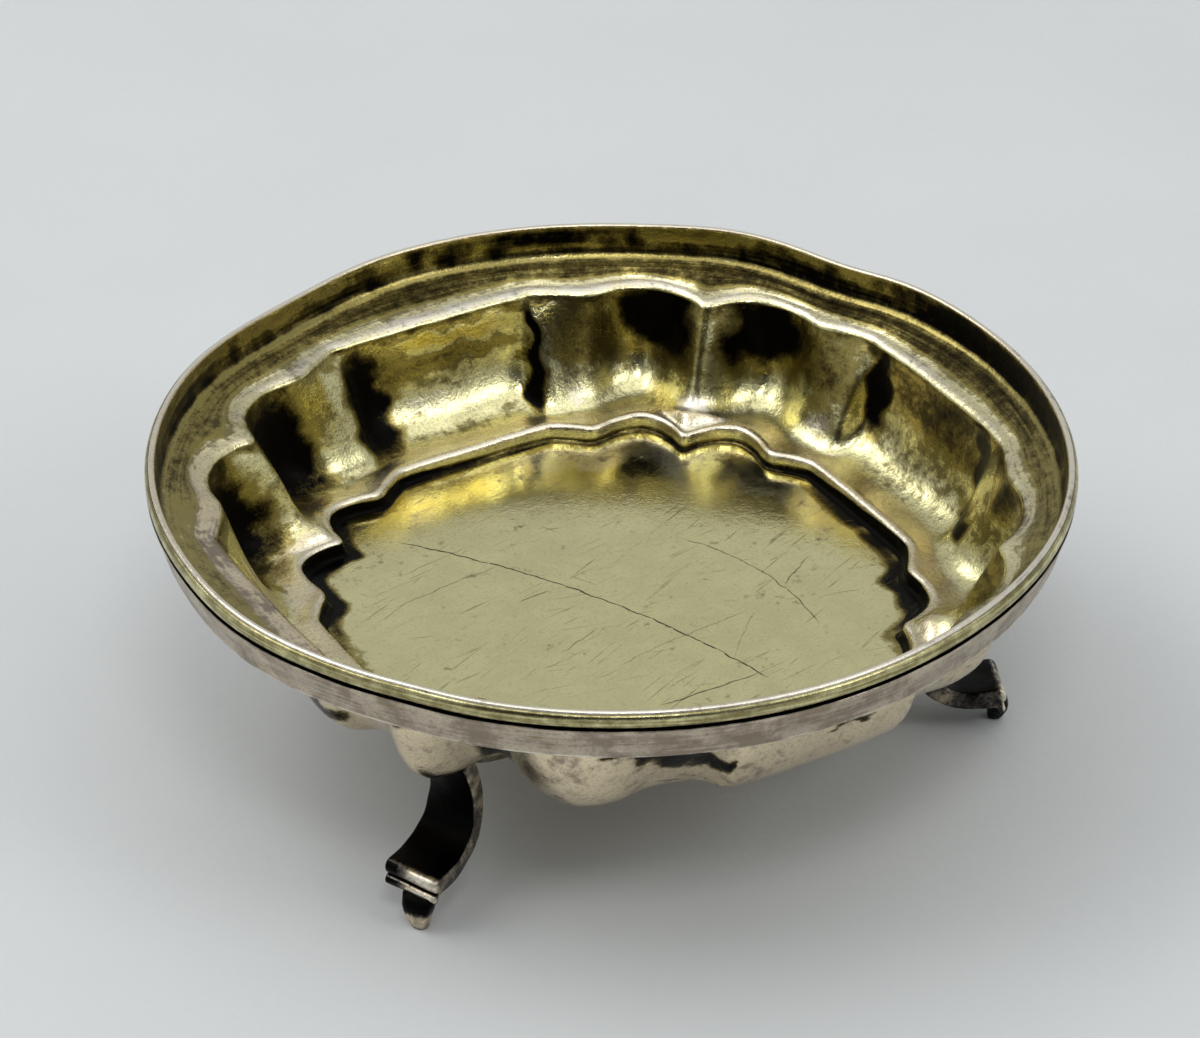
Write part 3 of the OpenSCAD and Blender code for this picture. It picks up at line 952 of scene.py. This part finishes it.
class Board:
    """Adds and links the nodes of one material or world."""

    def __init__(self, tree):
        self.tree = tree

    def plug(self, node, plugs):
        """Fills a node's inputs with values or with other nodes' outputs."""
        for key, value in dict(plugs).items():
            if isinstance(value, bpy.types.NodeSocket):
                self.tree.links.new(value, node.inputs[key])
            else:
                node.inputs[key].default_value = value

    def add(self, kind, plugs=(), **settings):
        """Adds a node."""
        node = self.tree.nodes.new(kind)
        for key, value in settings.items():
            setattr(node, key, value)
        self.plug(node, plugs)
        return node

    def math(self, operation, a, b=0.0, c=0.0):
        """Result of a sum on numbers."""
        return self.add("ShaderNodeMath", {0: a, 1: b, 2: c}, operation=operation).outputs[0]

    def vector(self, operation, a, b=(0, 0, 0), output="Vector"):
        """Result of a sum on vectors."""
        node = self.add("ShaderNodeVectorMath", {0: a, 1: b}, operation=operation)
        return node.outputs[output]

    def grade(self, value, low, high, start=0.0, end=1.0):
        """Start below low, end above high, smooth between."""
        plugs = dict(enumerate((value, low, high, start, end)))
        return self.add("ShaderNodeMapRange", plugs, interpolation_type="SMOOTHSTEP").outputs[0]

    def mix(self, share, a, b, way="MIX"):
        """Colour a with a share of colour b."""
        plugs = {0: share, 6: a, 7: b}
        return self.add("ShaderNodeMix", plugs, data_type="RGBA", blend_type=way).outputs[2]

    def noise(self, place, scale, detail=4.0, roughness=0.6):
        """Noise between 0 and 1, mostly near the middle."""
        plugs = {"Vector": place, "Scale": scale, "Detail": detail, "Roughness": roughness}
        return self.add("ShaderNodeTexNoise", plugs).outputs["Fac"]

    def place(self):
        """Place on the object, in millimetres."""
        coords = self.add("ShaderNodeTexCoord").outputs["Object"]
        plugs = {"Vector": coords, "Scale": (1 / MM, 1 / MM, 1 / MM)}
        return self.add("ShaderNodeMapping", plugs).outputs[0]

    def bump(self, height, distance, strength=1.0):
        """Normal of a surface that noise makes uneven."""
        plugs = {"Strength": strength, "Distance": distance, "Height": height}
        return self.add("ShaderNodeBump", plugs).outputs[0]

    def value(self, name):
        """Numbers that keep_values has stored."""
        return self.add("ShaderNodeAttribute", attribute_name=name).outputs["Fac"]

    def stretched(self, place, turn, size):
        """The place turned about Z and stretched, for fine lines that run one way."""
        plugs = {"Vector": place, "Rotation": (0, 0, math.radians(turn))}
        turned = self.add("ShaderNodeMapping", plugs).outputs[0]
        return self.add("ShaderNodeMapping", {"Vector": turned, "Scale": size}).outputs[0]


def scratch_mask(board, place, scratch):
    """1 on one arc-shaped scratch, 0 elsewhere."""
    x1, y1, x2, y2, bulge, half_width, strength = scratch
    a, b = Vector((x1, y1, 0)), Vector((x2, y2, 0))
    length = (b - a).length
    along = (b - a) / length
    aside = Vector((-along.y, along.x, 0))
    radius = (length**2 / 4 + bulge**2) / (2 * abs(bulge))
    side = math.copysign(1, bulge)
    middle = (a + b) / 2
    centre = middle - aside * side * (radius - abs(bulge))
    away = board.vector("LENGTH", board.vector("SUBTRACT", place, centre), output="Value")
    off = board.math("ABSOLUTE", board.math("SUBTRACT", away, radius))
    offset = board.vector("SUBTRACT", place, middle)
    run = board.math("ABSOLUTE", board.vector("DOT_PRODUCT", offset, along, "Value"))
    line = board.grade(off, half_width, half_width * 0.2)
    ends = board.grade(run, length / 2, length / 2 - min(1.2, length / 4))
    return board.math("MULTIPLY", board.math("MULTIPLY", line, ends), strength)


def floor_scratches(board, place):
    """All the scratches of the floor, with breaks in them."""
    flat = board.vector("MULTIPLY", place, (1, 1, 0))
    plugs = {"Vector": flat, "Scale": 0.8, "Detail": 2.0}
    wobble = board.add("ShaderNodeTexNoise", plugs).outputs["Color"]
    jog = board.vector("SUBTRACT", wobble, (0.5, 0.5, 0.5))
    flat = board.vector("ADD", flat, board.vector("MULTIPLY", jog, (0.5, 0.5, 0)))
    total = scratch_mask(board, flat, FLOOR_SCRATCHES[0])
    for scratch in FLOOR_SCRATCHES[1:]:
        total = board.math("MAXIMUM", total, scratch_mask(board, flat, scratch))
    breaks = board.grade(board.noise(flat, 1.6, 3.0), 0.3, 0.5, 0.45, 1.0)
    return board.math("MULTIPLY", total, breaks)


def fine_lines(board, place):
    """Short fine scratches in a few ways."""
    total = None
    for turn, scale, low in FINE_LINES:
        stretched = board.stretched(place, turn, (0.05, 1.0, 0.3))
        line = board.grade(board.noise(stretched, scale, 2.0, 0.5), low, low + 0.06)
        total = line if total is None else board.math("MAXIMUM", total, line)
    gaps = board.grade(board.noise(place, 0.35, 3.0), 0.4, 0.6)
    return board.math("MULTIPLY", total, gaps)


# Colours of the metal
SILVER = (0.78, 0.66, 0.46, 1)
BAND_SILVER = (0.54, 0.46, 0.36, 1)
PALE_GILT = (0.82, 0.77, 0.42, 1)
YELLOW_GILT = (0.66, 0.54, 0.13, 1)
AMBER_GILT = (0.34, 0.28, 0.09, 1)
BRIGHT_SILVER = (0.85, 0.80, 0.67, 1)
GILT_STAIN = (0.17, 0.14, 0.05, 1)
SILVER_STAIN = (0.26, 0.21, 0.16, 1)
BROWN_PATINA = (0.075, 0.058, 0.018, 1)
GRAY_PATINA = (0.10, 0.09, 0.08, 1)
BLACK_PATINA = (0.004, 0.0037, 0.0033, 1)
SCRATCH_BROWN = (0.16, 0.13, 0.06, 1)
SCRATCH_BLACK = (0.02, 0.017, 0.012, 1)
# Colours of the room, the person behind the camera and the paper
ROOM = (0.52, 0.53, 0.535, 1)
PERSON = (0.02, 0.02, 0.02, 1)
PAPER = ((0.6, 0.62, 0.625, 1), (0.66, 0.68, 0.685, 1))
PAPER_HALF = 1.5
# How high the person's middle is, and the angles from it where the person ends, in degrees
PERSON_RISE = 12
PERSON_EDGE = (48, 26)

# Soft lights as (name, turn, rise, metres away, width and height, watts)
LIGHTS = (
    ("overhead", 149, 88, 0.6, (0.84, 0.5), 0.92),
    ("left_side", -128, 50, 0.65, (0.5, 0.4), 1.35),
    ("lamp", -26, 57, 0.6, (0.16, 0.12), 0.5),
    ("window", 33, 40, 0.6, (0.18, 0.2), 0.42),
)


def new_material(name):
    """A material, its board and its shader."""
    material = bpy.data.materials.new(name)
    material.use_nodes = True
    board = Board(material.node_tree)
    return material, board, material.node_tree.nodes["Principled BSDF"]


def aged_metal(
    name,
    clean=SILVER,
    thin_patina=GRAY_PATINA,
    smooth=0.2,
    mottling=1.0,
    blotches=2.0,
    dents=0.00004,
    scratched=False,
):
    """Gilt and silver that is worn in places and tarnished in others, with painted shade, dark
    reflections and highlights.

    It reads what keep_values and keep_lie have stored, and adds ragged noise to break up
    the edges of wear and tarnish.
    """
    material, board, shader = new_material(name)
    place = board.place()
    lie = board.add("ShaderNodeAttribute", attribute_name="lie").outputs["Vector"]

    broad = board.noise(place, 0.35, 3.0)
    blotch = board.noise(place, 1.1, 4.0, 0.65)
    grain = board.noise(place, 5.0, 3.0, 0.7)
    streak = board.noise(lie, 1.6, 4.0, 0.6)
    ragged = board.math("MULTIPLY", blotch, 0.55)
    for pattern, share in ((grain, 0.35), (streak, 0.5)):
        ragged = board.math("ADD", ragged, board.math("MULTIPLY", pattern, share))
    ragged = board.math("SUBTRACT", ragged, 0.7)

    # gilding: silver where it is worn off, pale over most, strong yellow where it is thick and
    # where a reflection of gilt is painted
    gold = board.math("MULTIPLY_ADD", ragged, 0.5, board.value("gilding"))
    pale = board.grade(gold, 0.1, 0.42)
    deep_gilt_and_reflection = board.grade(gold, 0.6, 0.9)
    color = board.mix(pale, clean, PALE_GILT)
    color = board.mix(deep_gilt_and_reflection, color, YELLOW_GILT)

    # small change of tone all over
    tone = board.grade(broad, 0.3, 0.7, 1.0 - 0.15 * mottling, 1.0 + 0.05 * mottling)
    speck = board.grade(grain, 0.34, 0.5, 1.0 - 0.3 * mottling, 1.0)
    tone = board.math("MULTIPLY", tone, speck)
    gray = board.add("ShaderNodeCombineColor", {0: tone, 1: tone, 2: tone}).outputs[0]
    color = board.mix(1.0, color, gray, "MULTIPLY")

    # bright silver where it is worn, and painted highlights
    wear_and_highlight = board.grade(board.math("MULTIPLY_ADD", ragged, 0.9, board.value("wear_and_highlight")), 0.3, 0.8)
    color = board.mix(wear_and_highlight, color, BRIGHT_SILVER)

    # brown stains and painted shade, in streaks and mottles
    gilt = board.math("MULTIPLY", pale, board.math("SUBTRACT", 1.0, wear_and_highlight))
    stain_and_shade = board.value("stained_and_shaded")
    for pattern, share in ((streak, 1.2), (blotch, blotches)):
        stain_and_shade = board.math("MULTIPLY_ADD", board.math("SUBTRACT", pattern, 0.5), share, stain_and_shade)
    stain_and_shade = board.grade(stain_and_shade, 0.2, 0.75, 0.0, 0.9)
    color = board.mix(stain_and_shade, color, board.mix(gilt, SILVER_STAIN, GILT_STAIN))

    # tarnish, painted shade and painted dark reflections: amber on gilt where they start, brown
    # or gray where thin, black where thick
    tarnish_and_shade = board.math("MULTIPLY_ADD", ragged, 0.9, board.value("tarnish_and_shade"))
    amber = board.math("MULTIPLY", board.grade(tarnish_and_shade, 0.14, 0.34), pale)
    thin = board.grade(tarnish_and_shade, 0.32, 0.58)
    thick = board.grade(tarnish_and_shade, 0.5, 0.74)
    color = board.mix(amber, color, AMBER_GILT)
    color = board.mix(thin, color, thin_patina)
    color = board.mix(thick, color, BLACK_PATINA)

    rough = board.math("MULTIPLY_ADD", blotch, 0.14, smooth - 0.05)
    rough = board.math("MULTIPLY_ADD", thin, 0.12, rough)
    rough = board.math("MULTIPLY_ADD", wear_and_highlight, 0.1, rough)
    if scratched:
        lines = fine_lines(board, place)
        deep = floor_scratches(board, place)
        color = board.mix(board.math("MULTIPLY", lines, 0.5), color, SCRATCH_BROWN)
        color = board.mix(deep, color, SCRATCH_BLACK)
        rough = board.math("MULTIPLY_ADD", lines, 0.1, rough)
    height = board.math("MULTIPLY_ADD", blotch, 0.8, board.math("MULTIPLY", grain, 0.35))
    normal = board.bump(height, dents)
    plugs = {"Metallic": 1.0, "Base Color": color, "Roughness": rough, "Normal": normal}
    board.plug(shader, plugs)
    return material


def outward(turn, rise):
    """Unit vector from the origin towards a turn and a rise, in degrees."""
    way, up = math.radians(turn), math.radians(rise)
    return Vector((math.sin(way) * math.cos(up), -math.cos(way) * math.cos(up), math.sin(up)))


def add_camera():
    """The camera at the photograph's place, aimed a little off the lip's centre."""
    way = math.radians(CAMERA_TURN)
    back = outward(CAMERA_TURN, CAMERA_RISE)
    right = Vector((math.cos(way), math.sin(way), 0))
    up = back.cross(right)
    lip = Vector((0, 0, LIP_Z))
    place = lip + back * CAMERA_AWAY
    aim = lip - right * AIM_LEFT - up * AIM_BELOW
    look = (place - aim).normalized()
    side = (right - look * right.dot(look)).normalized()
    side = Matrix.Rotation(math.radians(-CAMERA_ROLL), 3, look) @ side
    high = look.cross(side)
    data = bpy.data.cameras.new("camera")
    data.lens = LENS
    data.sensor_width = SENSOR
    data.sensor_fit = "HORIZONTAL"
    data.clip_start = 0.01
    data.clip_end = 20
    camera = bpy.data.objects.new("camera", data)
    turned = Matrix((side, high, look)).transposed().to_4x4()
    camera.matrix_world = Matrix.Translation(place * MM) @ turned
    bpy.context.scene.collection.objects.link(camera)
    bpy.context.scene.camera = camera


def add_area(name, turn, rise, away, size, power):
    """A soft rectangular light that faces the object."""
    data = bpy.data.lights.new(name, "AREA")
    data.shape = "RECTANGLE"
    data.size, data.size_y = size
    data.energy = power
    light = bpy.data.objects.new(name, data)
    place = outward(turn, rise) * away
    light.location = place
    light.rotation_euler = place.to_track_quat("Z", "Y").to_euler()
    bpy.context.scene.collection.objects.link(light)


def add_world():
    """A pale room, with a dark patch where the photographer stands."""
    world = bpy.data.worlds.new("studio")
    bpy.context.scene.world = world
    world.use_nodes = True
    world.node_tree.nodes.clear()
    board = Board(world.node_tree)
    coords = board.add("ShaderNodeTexCoord").outputs["Generated"]
    toward = outward(CAMERA_TURN, PERSON_RISE)
    facing = board.vector("DOT_PRODUCT", coords, toward, "Value")
    low, high = (math.cos(math.radians(degrees)) for degrees in PERSON_EDGE)
    color = board.mix(board.grade(facing, low, high), ROOM, PERSON)
    back = board.add("ShaderNodeBackground", {"Color": color}).outputs[0]
    board.add("ShaderNodeOutputWorld", {"Surface": back})


def paper_material():
    """Pale matt paper with a fine tooth."""
    material, board, shader = new_material("paper")
    place = board.place()
    color = board.mix(board.noise(place, 0.03, 3.0), *PAPER)
    normal = board.bump(board.noise(place, 1.3, 3.0), 0.0001, 0.5)
    board.plug(shader, {"Base Color": color, "Roughness": 0.85, "Normal": normal})
    return material


def add_floor():
    """Pale paper that the object stands on."""
    mesh = bpy.data.meshes.new("paper")
    h = PAPER_HALF
    mesh.from_pydata([(-h, -h, 0), (h, -h, 0), (h, h, 0), (-h, h, 0)], [], [(0, 1, 2, 3)])
    floor = bpy.data.objects.new("paper", mesh)
    bpy.context.scene.collection.objects.link(floor)
    mesh.materials.append(paper_material())


def finish_piece(piece, material, node):
    """Gives a piece its material and its body, and hides the node that it stands for."""
    piece.data.materials.append(material)
    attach(piece, "root")
    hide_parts(node)


bpy.context.scene.view_settings.view_transform = "Standard"
add_camera()
add_world()
for light in LIGHTS:
    add_area(*light)
add_floor()

bowl = make_bowl()
wall_metal = aged_metal("gilt_silver", thin_patina=BROWN_PATINA, dents=0.00006)
floor_metal = aged_metal(
    "gilt_floor",
    thin_patina=BROWN_PATINA,
    smooth=0.08,
    mottling=0.5,
    dents=0.000012,
    scratched=True,
)
wire_metal = aged_metal("wire_silver", smooth=0.24, mottling=0.6, blotches=0.7)
band_metal = aged_metal("band_silver", clean=BAND_SILVER, smooth=0.32, blotches=1.3)
leg_metal = aged_metal("leg_silver", smooth=0.28)
toe_metal = aged_metal("toe_silver", smooth=0.3)
finish_piece(bowl, wall_metal, "bowl")
bowl.data.materials.append(floor_metal)
finish_piece(make_wire(), wire_metal, "rim_wire")
finish_piece(make_band(), band_metal, "rim_band")
for leg in LEGS:
    finish_piece(make_leg(leg), leg_metal, "leg_" + leg.side)
    finish_piece(make_toe(leg), toe_metal, "toe_" + leg.side)
